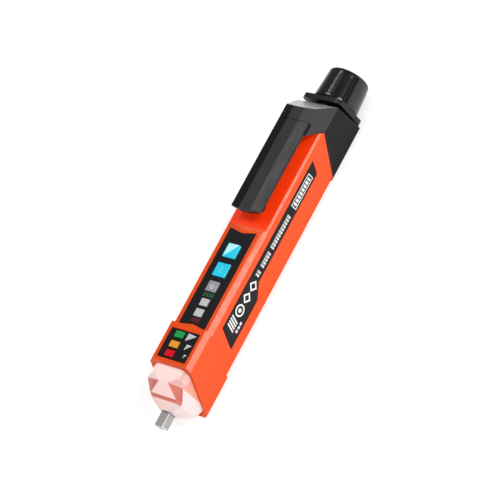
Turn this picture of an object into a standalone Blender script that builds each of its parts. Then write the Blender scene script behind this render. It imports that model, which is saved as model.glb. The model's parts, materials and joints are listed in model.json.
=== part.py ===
"""Pen-style non contact voltage tester, lying on its back.

Frame: +X runs from the sensor pin to the tail cap, +Z is the way the display face looks, and the
origin is under the middle of the pen, on the surface it lies on. Lengths below are in millimetres,
and stations along the pen are measured from the free end of the sensor pin.
"""
import math

import bmesh
import bpy
from mathutils import Matrix, Vector

MM = 0.001
GAP = 0.3                    # clearance between touching pieces

# Overall
LENGTH = 157.0
AXIS_Z = 9.35                # height of the battery and sensor axis
SLANT = 0.42                 # head ends lean towards the pin by this much per mm downwards

# Head and body sections
HEAD_HALF = 10.55
HEAD_TOP = 22.6
HEAD_MOUTH_TOP = 21.0        # station of the head's end at its top
HEAD_STEP_TOP = 37.3         # station of the step behind the head at its top
BODY_HALF = 10.2
BODY_TOP = 21.3
BODY_BACK = 0.8
CORNER = 1.7                 # chamfers beside the display face
BACK_CORNER = 1.65
WALL = 1.5
FACE_WALL = 1.4
RIDGE = 79.9                 # the display ends here and drops to the recess under the clip
RECESS_START = 82.3
RECESS_TOP = 20.3

# Collar and clip
COLLAR_HALF = 10.3
COLLAR_BACK = 0.3
COLLAR_TAIL = 140.6
COLLAR_EDGE_Z = 18.7         # top of the collar's upright sides
CLIP_TOP = 26.8
CLIP_FLAT = 2.8              # half width of the clip's flat top
CLIP_HALF = 7.4
CLIP_EDGE_DROP = 0.7
CLIP_THICK = 1.9
CLIP_TIP = 85.6
CLIP_ROOT = 126.4
CLIP_PIVOT = (128.4, 24.9)
PIVOT_RADIUS = 1.1

# Display
FILM = 0.35
FILM_DEPTH = 0.65
KEYPAD = (37.7, 79.6, 6.5)   # tip end, tail end, half width
KEYPAD_NOTCH = 1.2
SIGNAL = (22.7, 34.8, 7.05)
KEYS = {"power_key": (67.6, 73.3, 3.1), "torch_key": (59.3, 65.0, 3.1), "mode_key": (52.7, 57.1, 2.5)}
KEY_PROUD = 0.5
WINDOWS = {"indicator_window_1": (46.6, 49.6, 2.0), "indicator_window_2": (42.0, 45.2, 2.0)}
PIPES = {"light_pipe_green": 31.55, "light_pipe_amber": 27.35, "light_pipe_red": 23.5}
PIPE_LENGTH = 2.6
PIPE_SIDES = (-0.1, 4.3)
FLANGE = 0.6                 # how far a key's or window's flange reaches past its opening
FLANGE_THICK = 0.6

# Electronics
BOARD = (21.2, 81.2, 7.3)
BOARD_Z = (15.8, 16.7)
POST = (39.2, 5.4)
POST_RADIUS = 1.9

# Battery space and tail
CELL_RADIUS = 5.2
CELL_LENGTH = 44.2
CELL_STARTS = (49.0, 93.6)
SLEEVE = (46.0, 138.2, 5.5, 6.0)
SEAT = (141.0, 143.0)
SPIGOT = (138.6, 149.4, 5.75, 7.2)
CAP_START = 143.4
CAP_RADIUS = 9.35
CAP_TIP_RADIUS = 8.6

# Nose
PIN_HALF = 2.0
PIN_ROOT = 6.0
LENS_BACK = 22.8

COLORS = {
    "orange": ((0.91, 0.13, 0.03), 0.42, 0.0),
    "black": ((0.03, 0.03, 0.035), 0.38, 0.0),
    "film": ((0.012, 0.013, 0.016), 0.25, 0.0),
    "clear": ((0.88, 0.72, 0.70), 0.12, 0.0),
    "pin": ((0.45, 0.46, 0.47), 0.2, 0.0),
    "cyan": ((0.02, 0.62, 0.85), 0.25, 0.0),
    "grey": ((0.42, 0.43, 0.47), 0.35, 0.0),
    "window": ((0.6, 0.61, 0.61), 0.3, 0.0),
    "green": ((0.02, 0.4, 0.08), 0.25, 0.0),
    "amber": ((0.9, 0.36, 0.03), 0.25, 0.0),
    "red": ((0.68, 0.01, 0.02), 0.25, 0.0),
    "board": ((0.02, 0.18, 0.07), 0.5, 0.0),
    "copper": ((0.8, 0.42, 0.22), 0.3, 1.0),
    "steel": ((0.62, 0.62, 0.62), 0.3, 1.0),
    "rubber": ((0.02, 0.02, 0.02), 0.8, 0.0),
    "cell": ((0.1, 0.16, 0.3), 0.35, 0.3),
}


# ---------------------------------------------------------------- scene helpers
def clear_scene():
    for obj in list(bpy.data.objects):
        bpy.data.objects.remove(obj, do_unlink=True)


def new_collection(name):
    collection = bpy.data.collections.new(name)
    bpy.context.scene.collection.children.link(collection)
    return collection


clear_scene()
PARTS = new_collection("voltage_tester_pen")
CUTTERS = new_collection("cutters")
MATERIALS = {}


def material(name):
    if name not in MATERIALS:
        color, roughness, metallic = COLORS[name]
        mat = bpy.data.materials.new(name)
        mat.use_nodes = True
        shader = mat.node_tree.nodes["Principled BSDF"]
        shader.inputs["Base Color"].default_value = (*color, 1.0)
        shader.inputs["Roughness"].default_value = roughness
        shader.inputs["Metallic"].default_value = metallic
        MATERIALS[name] = mat
    return MATERIALS[name]


def point(station, y, z):
    """World position of a station along the pen."""
    return Vector(((station - LENGTH / 2) * MM, y * MM, z * MM))


def settle(obj, origin=None):
    """Bake the object's transform into its mesh and put its origin at a point."""
    obj.data.transform(obj.matrix_world)
    obj.matrix_world = Matrix.Identity(4)
    if origin is None:
        corners = [v.co for v in obj.data.vertices]
        origin = sum(corners, Vector()) / len(corners)
    obj.data.transform(Matrix.Translation(-origin))
    obj.location = origin


def finish(obj, name, look, origin=None, smooth=None):
    """Name the object, give it its finish and file it with the parts."""
    settle(obj, origin)
    obj.name = name
    obj.data.name = name
    obj.data.materials.clear()
    obj.data.materials.append(material(look))
    for collection in list(obj.users_collection):
        collection.objects.unlink(obj)
    PARTS.objects.link(obj)
    if smooth is not None:
        obj.data.shade_smooth()
        obj.data.set_sharp_from_angle(angle=math.radians(smooth))
    return obj


def as_cutter(obj):
    for collection in list(obj.users_collection):
        collection.objects.unlink(obj)
    CUTTERS.objects.link(obj)
    obj.hide_render = True
    obj.display_type = "WIRE"
    return obj


def combine(obj, other, operation):
    """Boolean with the EXACT solver; the other object becomes a cutter."""
    as_cutter(other)
    modifier = obj.modifiers.new(operation.lower(), "BOOLEAN")
    modifier.operation = operation
    modifier.object = other
    modifier.solver = "EXACT"
    bpy.context.view_layer.update()
    mesh = bpy.data.meshes.new_from_object(obj.evaluated_get(bpy.context.evaluated_depsgraph_get()))
    obj.modifiers.clear()
    obj.data = mesh
    return obj


def cut(obj, *others):
    for other in others:
        combine(obj, other, "DIFFERENCE")
    return obj


def join(obj, *others):
    for other in others:
        combine(obj, other, "UNION")
    return obj


# ---------------------------------------------------------------- shape helpers
def block(x, y, z):
    """A box from its three (low, high) spans."""
    center = point(sum(x) / 2, sum(y) / 2, sum(z) / 2)
    bpy.ops.mesh.primitive_cube_add(size=1.0, location=center)
    obj = bpy.context.object
    obj.data.transform(Matrix.Diagonal(((x[1] - x[0]) * MM, (y[1] - y[0]) * MM, (z[1] - z[0]) * MM, 1.0)))
    bpy.context.view_layer.update()
    return obj


def outline_solid(points, frame, thickness):
    """A flat outline, given in mm in the frame's own X and Y, extruded both ways along its Z."""
    curve = bpy.data.curves.new("outline", "CURVE")
    curve.dimensions = "2D"
    curve.fill_mode = "BOTH"
    curve.extrude = thickness * MM / 2
    spline = curve.splines.new("POLY")
    spline.points.add(len(points) - 1)
    for target, (u, v) in zip(spline.points, points):
        target.co = (u * MM, v * MM, 0.0, 1.0)
    spline.use_cyclic_u = True
    drawn = bpy.data.objects.new("outline", curve)
    bpy.context.scene.collection.objects.link(drawn)
    drawn.matrix_world = frame
    return curve_to_mesh(drawn)


def curve_to_mesh(drawn):
    bpy.context.view_layer.update()
    mesh = bpy.data.meshes.new_from_object(drawn.evaluated_get(bpy.context.evaluated_depsgraph_get()))
    welded = bmesh.new()
    welded.from_mesh(mesh)
    bmesh.ops.remove_doubles(welded, verts=welded.verts, dist=0.02 * MM)
    bmesh.ops.recalc_face_normals(welded, faces=welded.faces)
    welded.to_mesh(mesh)
    welded.free()
    solid = bpy.data.objects.new("solid", mesh)
    bpy.context.scene.collection.objects.link(solid)
    solid.matrix_world = drawn.matrix_world
    bpy.data.objects.remove(drawn, do_unlink=True)
    bpy.context.view_layer.update()
    return solid


def along_x(points, x):
    """Extrude a (y, z) section along the pen between two stations."""
    frame = Matrix(((0, 0, 1, 0), (1, 0, 0, 0), (0, 1, 0, 0), (0, 0, 0, 1)))
    frame.translation = point((x[0] + x[1]) / 2, 0.0, 0.0)
    return outline_solid(points, frame, x[1] - x[0])


def along_y(points, y):
    """Extrude a (station, z) side profile across the pen."""
    frame = Matrix(((1, 0, 0, 0), (0, 0, -1, 0), (0, 1, 0, 0), (0, 0, 0, 1)))
    frame.translation = point(0.0, (y[0] + y[1]) / 2, 0.0)
    return outline_solid(points, frame, y[1] - y[0])


def along_z(points, z):
    """Extrude a (station, y) plan outline upwards."""
    frame = Matrix.Translation(point(0.0, 0.0, (z[0] + z[1]) / 2))
    return outline_solid(points, frame, z[1] - z[0])


def cylinder(x, radius, center=(0.0, AXIS_Z), sides=40):
    """A cylinder lying along the pen."""
    middle = point((x[0] + x[1]) / 2, *center)
    bpy.ops.mesh.primitive_cylinder_add(vertices=sides, radius=radius * MM, depth=(x[1] - x[0]) * MM,
                                        location=middle, rotation=(0.0, math.pi / 2, 0.0))
    bpy.context.view_layer.update()
    return bpy.context.object


def upright(center, radius, z, sides=24):
    """A cylinder standing on the pen's back at (station, y)."""
    middle = point(center[0], center[1], (z[0] + z[1]) / 2)
    bpy.ops.mesh.primitive_cylinder_add(vertices=sides, radius=radius * MM, depth=(z[1] - z[0]) * MM,
                                        location=middle)
    bpy.context.view_layer.update()
    return bpy.context.object


def turned(profile, sides=48):
    """Turn a closed (radius, station) profile about the battery axis."""
    mesh = bpy.data.meshes.new("profile")
    solid = bpy.data.objects.new("turned", mesh)
    bpy.context.scene.collection.objects.link(solid)
    outline = bmesh.new()
    ring = [outline.verts.new((radius * MM, 0.0, station * MM)) for radius, station in profile]
    for first, second in zip(ring, ring[1:] + ring[:1]):
        outline.edges.new((first, second))
    outline.to_mesh(mesh)
    outline.free()
    screw = solid.modifiers.new("turn", "SCREW")
    screw.axis = "Z"
    screw.steps = sides
    screw.render_steps = sides
    screw.use_merge_vertices = True
    screw.merge_threshold = 0.00001
    # the profile's own Z runs along the pen
    frame = Matrix(((0, 0, 1, 0), (1, 0, 0, 0), (0, 1, 0, 0), (0, 0, 0, 1)))
    frame.translation = point(0.0, 0.0, AXIS_Z)
    solid.matrix_world = frame
    return curve_to_mesh(solid)


def coil(x, radius, wire, turns, steps=12):
    """A compression spring along the battery axis, with a closed loop at each end."""
    curve = bpy.data.curves.new("coil", "CURVE")
    curve.dimensions = "3D"
    curve.bevel_depth = wire * MM / 2
    curve.bevel_resolution = 2
    curve.use_fill_caps = True
    spline = curve.splines.new("POLY")
    count = turns * steps
    spline.points.add(count)
    for index, target in enumerate(spline.points):
        angle = 2 * math.pi * index / steps
        station = x[0] + (x[1] - x[0]) * index / count
        place = point(station, radius * math.cos(angle), AXIS_Z + radius * math.sin(angle))
        target.co = (*place, 1.0)
    drawn = bpy.data.objects.new("coil", curve)
    bpy.context.scene.collection.objects.link(drawn)
    return curve_to_mesh(drawn)


def chamfered(half, bottom, top, upper, lower):
    """A (y, z) box section with cut corners."""
    return [(half, bottom + lower), (half, top - upper), (half - upper, top), (-half + upper, top),
            (-half, top - upper), (-half, bottom + lower), (-half + lower, bottom), (half - lower, bottom)]


def rounded(half, bottom, top, radius, steps=4):
    """A (y, z) box section with round corners."""
    points = []
    corners = ((half, bottom, -90), (half, top, 0), (-half, top, 90), (-half, bottom, 180))
    for y, z, start in corners:
        center = (y - math.copysign(radius, y), z + (radius if z == bottom else -radius))
        for step in range(steps + 1):
            angle = math.radians(start + 90 * step / steps)
            points.append((center[0] + radius * math.cos(angle), center[1] + radius * math.sin(angle)))
    return points


def lean(obj, top_station, top, tip_side):
    """Slide one end of a prism so that it leans along the head's slant."""
    ends = [v for v in obj.data.vertices if (v.co.z < 0) == tip_side]
    place = obj.matrix_world
    inverse = place.inverted()
    for vertex in ends:
        world = place @ vertex.co
        world.x = point(top_station - SLANT * (top - world.z / MM), 0, 0).x
        vertex.co = inverse @ world
    return obj


def loft(sections):
    """Skin closed rings of (station, y, z) points, capped at both ends."""
    mesh = bpy.data.meshes.new("loft")
    skin = bmesh.new()
    rings = [[skin.verts.new(point(*p)) for p in section] for section in sections]
    for lower, upper in zip(rings, rings[1:]):
        for i in range(len(lower)):
            j = (i + 1) % len(lower)
            skin.faces.new((lower[i], lower[j], upper[j], upper[i]))
    skin.faces.new(rings[0][::-1])
    skin.faces.new(rings[-1])
    bmesh.ops.recalc_face_normals(skin, faces=skin.faces)
    skin.to_mesh(mesh)
    skin.free()
    solid = bpy.data.objects.new("loft", mesh)
    bpy.context.scene.collection.objects.link(solid)
    return solid


def slanted_ring(section, top_station, slope, top):
    return [(top_station - slope * (top - z), y, z) for y, z in section]


# ---------------------------------------------------------------- housing
def collar_zone(margin):
    """Side profile of everything from the collar's slanted front edge to the tail."""
    return [(115.8 - margin, -1.0), (128.0 - margin, COLLAR_EDGE_Z), (121.8 - margin, 24.6), (121.8 - margin, 30.0),
            (170.0, 30.0), (170.0, -1.0)]


def notched_plan(span, notch, margin=0.0):
    """The keypad panel's plan, notched at both ends."""
    tip, tail, half = span[0] - margin, span[1] + margin, span[2] + margin
    return [(tip, -half), (tail, -half), (tail - notch, 0.0), (tail, half), (tip, half), (tip + notch, 0.0)]


def label_plan(margin=0.0):
    """The side label's outline: a stripe that widens towards the head, with leaning ends."""
    low, mid, high = 7.1 - margin, 11.2 - margin, 16.5 + margin
    return [(38.0 - margin, low), (59.2 + margin, low), (65.0 + margin, mid), (113.3 + margin, mid),
            (115.8 + margin, high), (42.0 - margin, high)]


def front_shell():
    """Display face and both sides in one moulding, open along the back, with a closed mouth ring."""
    shell = along_x(chamfered(BODY_HALF, BODY_BACK, BODY_TOP, CORNER, BACK_CORNER), (25.0, 139.0))
    recess = along_y([(RIDGE, BODY_TOP + 0.01), (RECESS_START, RECESS_TOP), (145.0, RECESS_TOP), (145.0, 30.0),
                      (RIDGE, 30.0)], (-12.0, 12.0))
    cut(shell, recess, along_y(collar_zone(1.5 * GAP), (-12.0, 12.0)))
    spigot = along_x(chamfered(8.1, 2.6, 18.5, 1.0, 1.0), (100.0, 138.2))
    head = along_x(chamfered(HEAD_HALF, 0.0, HEAD_TOP, CORNER, BACK_CORNER), (15.0, 33.0))
    lean(head, HEAD_MOUTH_TOP, HEAD_TOP, True)
    lean(head, HEAD_STEP_TOP, HEAD_TOP, False)
    join(shell, spigot, head)
    mouth = along_x(rounded(9.7, 1.0, 21.3, 3.8), (0.0, LENS_BACK + GAP))
    inside = along_x(chamfered(BODY_HALF - WALL, 4.0, BODY_TOP - FACE_WALL, 1.2, 0.5), (22.0, 81.6))
    tail_bore = along_x(chamfered(7.3, 4.0, 17.1, 0.8, 0.5), (81.0, 150.0))
    attic = block((22.6, 36.0), (-8.6, 8.6), (15.0, HEAD_TOP - FACE_WALL))
    back = block((27.0, 117.0), (-(BODY_HALF - WALL), BODY_HALF - WALL), (-1.0, 6.0))
    tail_slot = block((110.0, 150.0), (-7.3, 7.3), (-1.0, 6.0))
    cut(shell, mouth, inside, tail_bore, attic, back, tail_slot)
    for side in (-1, 1):
        post = upright((POST[0], side * POST[1]), POST_RADIUS, (AXIS_Z - SLEEVE[3], 20.3))
        pilot = upright((POST[0], side * POST[1]), 0.95, (2.0, 12.0), sides=16)
        join(shell, post)
        cut(shell, pilot)
    film_floor = BODY_TOP - FILM_DEPTH
    cut(shell, along_z(notched_plan(KEYPAD, KEYPAD_NOTCH, GAP), (film_floor, 24.0)))
    cut(shell, block((SIGNAL[0] - GAP, SIGNAL[1] + GAP), (-SIGNAL[2] - GAP, SIGNAL[2] + GAP),
                     (HEAD_TOP - FILM_DEPTH, 24.0)))
    for tip, tail, half in list(KEYS.values()) + list(WINDOWS.values()):
        cut(shell, block((tip - GAP, tail + GAP), (-half - GAP, half + GAP), (18.0, 24.0)))
    for station in PIPES.values():
        cut(shell, block((station - GAP, station + PIPE_LENGTH + GAP),
                         (PIPE_SIDES[0] - GAP, PIPE_SIDES[1] + GAP), (18.0, 24.0)))
    cut(shell, along_y(label_plan(GAP), (-12.0, -BODY_HALF + 0.5)))
    return finish(shell, "front_shell", "orange")


def rear_cover():
    """Flat back plate between the shell's sides, hooked under the collar and held by two screws."""
    half = BODY_HALF - WALL - GAP
    inner = AXIS_Z - SLEEVE[3] - GAP
    plate = along_y([(27.4, 0.0), (28.2, 0.0), (28.6, BODY_BACK), (115.6, BODY_BACK), (116.1, inner),
                     (27.4, inner)], (-half, half))
    for side in (-1, 1):
        place = (POST[0], side * POST[1])
        cut(plate, upright(place, 1.15, (-1.0, 4.0), sides=16), upright(place, 2.0, (-1.0, 1.7)))
    return finish(plate, "rear_cover", "orange")


def cover_screws():
    """Self-tapping screws that come in from the back."""
    for index, side in enumerate((-1, 1), start=1):
        place = (POST[0], side * POST[1])
        screw = upright(place, 1.7, (0.95, 1.4))
        join(screw, upright(place, 0.65, (1.2, 9.0), sides=12))
        slot = block((place[0] - 1.0, place[0] + 1.0), (place[1] - 0.2, place[1] + 0.2), (0.5, 1.1))
        cross = block((place[0] - 0.2, place[0] + 0.2), (place[1] - 1.0, place[1] + 1.0), (0.5, 1.1))
        cut(screw, slot, cross)
        finish(screw, f"cover_screw_{index}", "steel", origin=point(place[0], place[1], 1.4))


# ---------------------------------------------------------------- nose
def nose_lens():
    """Clear nose: a rounded prism in the mouth that tapers in facets to the sensor pin."""
    full = rounded(9.4, 1.3, 21.0, 3.5)
    waist = rounded(6.2, 3.6, 17.4, 1.6)
    root = rounded(2.6, AXIS_Z - 2.6, AXIS_Z + 2.6, 0.6)
    lens = loft([slanted_ring(root, PIN_ROOT, 0.0, AXIS_Z), slanted_ring(waist, 10.4, 0.13, 17.4),
                 slanted_ring(full, 14.2, 0.18, 21.0), slanted_ring(full, LENS_BACK, 0.0, 21.0)])
    hollow = loft([slanted_ring(rounded(4.6, 5.0, 15.7, 1.2), 12.5, 0.0, 15.7),
                   slanted_ring(rounded(8.0, 2.7, 19.5, 2.4), 16.6, 0.0, 19.5),
                   slanted_ring(rounded(8.0, 2.7, 19.5, 2.4), LENS_BACK + 1.0, 0.0, 19.5)])
    bore = PIN_HALF + GAP
    cut(lens, hollow, block((0.0, 14.0), (-bore, bore), (AXIS_Z - bore, AXIS_Z + bore)))
    return finish(lens, "nose_lens", "clear", smooth=30)


def sensor_pin():
    """Square insulating tip with a slot for the antenna, and a shoulder inside the lens."""
    pin = block((0.0, 15.0), (-PIN_HALF, PIN_HALF), (AXIS_Z - PIN_HALF, AXIS_Z + PIN_HALF))
    shoulder = block((13.1, 14.4), (-3.2, 3.2), (AXIS_Z - 3.2, AXIS_Z + 3.2))
    slot = block((1.2, 16.0), (-1.2, 1.2), (AXIS_Z - 0.55, AXIS_Z + 0.55))
    join(pin, shoulder)
    cut(pin, slot)
    bevel = pin.modifiers.new("edges", "BEVEL")
    bevel.width = 0.15 * MM
    bevel.segments = 1
    bevel.limit_method = "ANGLE"
    return finish(pin, "sensor_pin", "pin")


def antenna_strip():
    """Copper pick-up strip from the pin to the underside of the board."""
    low = AXIS_Z - 0.2
    path = [(1.7, low), (20.2, low), (22.8, 14.7), (25.8, 14.7), (25.8, 15.1), (22.6, 15.1), (20.0, low + 0.4),
            (1.7, low + 0.4)]
    return finish(along_y(path, (-0.85, 0.85)), "antenna_strip", "copper")


def torch_led():
    """Lamp that lights the nose."""
    lamp = cylinder((16.6, 20.6), 1.5, center=(0.0, 15.2), sides=20)
    bevel = lamp.modifiers.new("dome", "BEVEL")
    bevel.width = 0.5 * MM
    bevel.segments = 3
    bevel.limit_method = "ANGLE"
    bevel.angle_limit = math.radians(60)
    join(lamp, cylinder((19.6, 20.8), 1.85, center=(0.0, 15.2), sides=24))
    return finish(lamp, "torch_led", "window", smooth=40)


# ---------------------------------------------------------------- display
def keypad_overlay():
    film = along_z(notched_plan(KEYPAD, KEYPAD_NOTCH), (BODY_TOP - FILM, BODY_TOP))
    for tip, tail, half in list(KEYS.values()) + list(WINDOWS.values()):
        cut(film, block((tip - GAP, tail + GAP), (-half - GAP, half + GAP), (18.0, 24.0)))
    return finish(film, "keypad_overlay", "film")


def signal_overlay():
    film = block(SIGNAL[:2], (-SIGNAL[2], SIGNAL[2]), (HEAD_TOP - FILM, HEAD_TOP))
    for station in PIPES.values():
        cut(film, block((station - GAP, station + PIPE_LENGTH + GAP),
                        (PIPE_SIDES[0] - GAP, PIPE_SIDES[1] + GAP), (18.0, 24.0)))
    return finish(film, "signal_overlay", "film")


def flanged(x, y, top, face_under, bottom=None):
    """A block that fills an opening in the face, with a flange kept behind the wall."""
    flange_top = face_under - GAP
    flange_bottom = flange_top - FLANGE_THICK
    body = block(x, y, (flange_bottom if bottom is None else bottom, top))
    flange = block((x[0] - FLANGE, x[1] + FLANGE), (y[0] - FLANGE, y[1] + FLANGE), (flange_bottom, flange_top))
    return join(body, flange)


def keys():
    """Three push keys that stand proud of the keypad panel."""
    for name, (tip, tail, half) in KEYS.items():
        key = flanged((tip, tail), (-half, half), BODY_TOP + KEY_PROUD, BODY_TOP - FACE_WALL)
        bevel = key.modifiers.new("edges", "BEVEL")
        bevel.width = 0.12 * MM
        bevel.segments = 1
        bevel.limit_method = "ANGLE"
        look = "grey" if name == "mode_key" else "cyan"
        finish(key, name, look, origin=point((tip + tail) / 2, 0.0, BODY_TOP - FACE_WALL - GAP))


def windows_and_pipes():
    """Clear windows over the indicator lamps, and the three signal light pipes."""
    for name, (tip, tail, half) in WINDOWS.items():
        window = flanged((tip, tail), (-half, half), BODY_TOP, BODY_TOP - FACE_WALL, bottom=18.1)
        finish(window, name, "window")
    for name, station in PIPES.items():
        under = HEAD_TOP - FACE_WALL
        pipe = block((station, station + PIPE_LENGTH), PIPE_SIDES, (18.1, HEAD_TOP))
        flange = block((station, station + PIPE_LENGTH), (PIPE_SIDES[0] - FLANGE, PIPE_SIDES[1] + FLANGE),
                       (under - GAP - FLANGE_THICK, under - GAP))
        finish(join(pipe, flange), name, name.rsplit("_", 1)[1])


def side_label():
    """Printed film in the shallow recess of the visible side."""
    return finish(along_y(label_plan(), (-BODY_HALF, -BODY_HALF + 0.2)), "side_label", "film")


# ---------------------------------------------------------------- electronics
def circuit_board():
    board = block(BOARD[:2], (-BOARD[2], BOARD[2]), BOARD_Z)
    for side in (-1, 1):
        cut(board, upright((POST[0], side * POST[1]), POST_RADIUS + GAP, (14.0, 17.0)))
    return finish(board, "circuit_board", "board")


def board_parts():
    """Switches and lamps on the board's face, buzzer and controller on its underside."""
    top = BOARD_Z[1] + GAP
    under = BOARD_Z[0] - GAP
    for index, (tip, tail, _) in enumerate(KEYS.values(), start=1):
        middle = (tip + tail) / 2
        switch = block((middle - 2.1, middle + 2.1), (-2.1, 2.1), (top, top + 0.8))
        join(switch, upright((middle, 0.0), 0.9, (top + 0.4, top + 1.1), sides=16))
        finish(switch, f"key_switch_{index}", "steel")
    for index, (tip, tail, _) in enumerate(WINDOWS.values(), start=1):
        middle = (tip + tail) / 2
        finish(block((middle - 0.8, middle + 0.8), (-0.6, 0.6), (top, top + 0.7)), f"indicator_led_{index}", "window")
    for index, station in enumerate(PIPES.values(), start=1):
        middle = station + PIPE_LENGTH / 2
        finish(block((middle - 0.8, middle + 0.8), (1.4, 2.8), (top, top + 0.7)), f"signal_led_{index}", "window")
    buzzer = upright((31.0, 0.0), 4.5, (under - 4.2, under), sides=32)
    cut(buzzer, upright((31.0, 0.0), 0.8, (under - 5.0, under - 3.2), sides=12))
    finish(buzzer, "buzzer", "black")
    finish(block((38.6, 43.6), (-2.5, 2.5), (under - 1.2, under)), "controller_chip", "black")


# ---------------------------------------------------------------- battery space
def battery_sleeve():
    tip, tail, inner, outer = SLEEVE
    sleeve = turned([(outer, tail), (outer, tip), (inner, tip), (inner, tail)], sides=36)
    return finish(sleeve, "battery_sleeve", "black", smooth=30)


def cells():
    """Two cells end to end, with their positive caps towards the head."""
    nub_length, nub_radius = 1.0, 1.9
    for index, start in enumerate(CELL_STARTS, start=1):
        end = start + CELL_LENGTH
        shoulder = start + nub_length
        profile = [(CELL_RADIUS - 0.4, end), (CELL_RADIUS, end - 0.4), (CELL_RADIUS, shoulder + 0.4),
                   (CELL_RADIUS - 0.4, shoulder), (nub_radius, shoulder), (nub_radius, start)]
        solid = turned([(0.0, end)] + profile + [(0.0, start)], sides=32)
        finish(solid, f"cell_{index}", "cell", smooth=30)


def front_contact():
    """Contact plate and spring at the head end of the cells, and the tail return strip."""
    plate = block((44.6, 45.1), (-4.6, 4.6), (AXIS_Z - 4.6, 15.0))
    finish(plate, "contact_plate", "steel")
    finish(coil((45.65, 48.4), 3.0, 0.5, 3), "contact_spring", "steel", smooth=40)
    beside = SLEEVE[3] + GAP
    strip = block((44.9, 138.0), (beside, beside + 0.35), (AXIS_Z - 2.0, AXIS_Z + 2.0))
    join(strip, block((44.9, 45.5), (5.2, beside + 0.2), (AXIS_Z - 1.0, AXIS_Z + 1.0)))
    finish(strip, "return_strip", "steel")


# ---------------------------------------------------------------- collar and clip
def hump_section():
    """(y, z) section of the collar: upright sides, steep shoulders and the clip's facets."""
    edge = CLIP_TOP - CLIP_EDGE_DROP
    low = [(COLLAR_HALF, COLLAR_BACK + BACK_CORNER), (COLLAR_HALF, COLLAR_EDGE_Z), (CLIP_HALF, edge), (CLIP_FLAT, CLIP_TOP)]
    return low + [(-y, z) for y, z in reversed(low)] + [(-COLLAR_HALF + BACK_CORNER, COLLAR_BACK),
                                                        (COLLAR_HALF - BACK_CORNER, COLLAR_BACK)]


def tail_collar():
    """Black end piece over the body's tail, with a leaning front edge and the clip's root block."""
    collar = along_x(hump_section(), (110.0, 145.0))
    front = collar_zone(0.0)[:3]
    side = front + [(126.9, 24.6), (126.9, 27.5), (131.9, 27.5), (139.0, COLLAR_EDGE_Z), (COLLAR_TAIL, -1.0)]
    combine(collar, along_y(side, (-12.0, 12.0)), "INTERSECT")
    inside = along_x(chamfered(8.4, 1.7, 18.8, 1.0, 1.0), (100.0, 138.6))
    bore = cylinder((130.0, 150.0), SPIGOT[3] + GAP)
    socket_z = CLIP_PIVOT[1]
    bpy.ops.mesh.primitive_cylinder_add(vertices=24, radius=(PIVOT_RADIUS + GAP) * MM, depth=11.6 * MM,
                                        location=point(CLIP_PIVOT[0], 0.0, socket_z),
                                        rotation=(math.pi / 2, 0.0, 0.0))
    socket = bpy.context.object
    neck = block((120.0, CLIP_PIVOT[0]), (-5.8, 5.8), (socket_z - 0.9, socket_z + 1.0))
    cut(collar, inside, bore, socket, neck)
    return finish(collar, "tail_collar", "black")


def pocket_clip():
    """Sprung clip: a faceted arm with a bead at its free end, turning in the collar at its root."""
    edge = CLIP_TOP - CLIP_EDGE_DROP
    under = CLIP_TOP - CLIP_THICK
    section = [(CLIP_HALF, under), (CLIP_HALF, edge), (CLIP_FLAT, CLIP_TOP), (-CLIP_FLAT, CLIP_TOP),
               (-CLIP_HALF, edge), (-CLIP_HALF, under)]
    arm = along_x(section, (CLIP_TIP, CLIP_ROOT))
    ends = along_z([(CLIP_TIP, -2.0), (CLIP_TIP, 2.0), (CLIP_TIP + 1.2, 7.5), (CLIP_TIP + 50.0, 7.5),
                    (CLIP_TIP + 50.0, -7.5), (CLIP_TIP + 1.2, -7.5)], (15.0, 30.0))
    combine(arm, ends, "INTERSECT")
    bead = along_y([(87.0, 25.5), (88.2, 21.9), (89.6, RECESS_TOP + 0.6), (91.4, RECESS_TOP + 0.6), (94.8, 25.5)],
                   (-4.2, 4.2))
    pivot_x, pivot_z = CLIP_PIVOT
    bpy.ops.mesh.primitive_cylinder_add(vertices=24, radius=PIVOT_RADIUS * MM, depth=11.0 * MM,
                                        location=point(pivot_x, 0.0, pivot_z), rotation=(math.pi / 2, 0.0, 0.0))
    barrel = bpy.context.object
    neck = block((CLIP_ROOT - 3.0, pivot_x), (-5.5, 5.5), (pivot_z - 0.5, pivot_z + 0.5))
    join(arm, bead, neck, barrel)
    return finish(arm, "pocket_clip", "black", origin=point(pivot_x, 0.0, pivot_z))


# ---------------------------------------------------------------- tail
def cap_seat():
    """End plate with the spigot that the cap screws onto, bored for the cells."""
    plate = along_x(rounded(9.8, 1.25, 18.7, 2.4), SEAT)
    tip, tail, inner, outer = SPIGOT
    spigot = turned([(outer, tail), (outer, 146.6), (6.4, 146.6), (6.4, 145.1), (outer, 145.1), (outer, tip),
                     (inner, tip), (inner, tail)], sides=40)
    bore = cylinder((130.0, 160.0), inner + 0.02)
    join(plate, spigot)
    cut(plate, bore)
    return finish(plate, "cap_seat", "black", smooth=30)


def cap_seal():
    bpy.ops.mesh.primitive_torus_add(major_radius=7.15 * MM, minor_radius=0.45 * MM, major_segments=40,
                                     minor_segments=8, location=point(145.85, 0.0, AXIS_Z),
                                     rotation=(0.0, math.pi / 2, 0.0))
    return finish(bpy.context.object, "cap_seal", "rubber", smooth=60)


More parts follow.
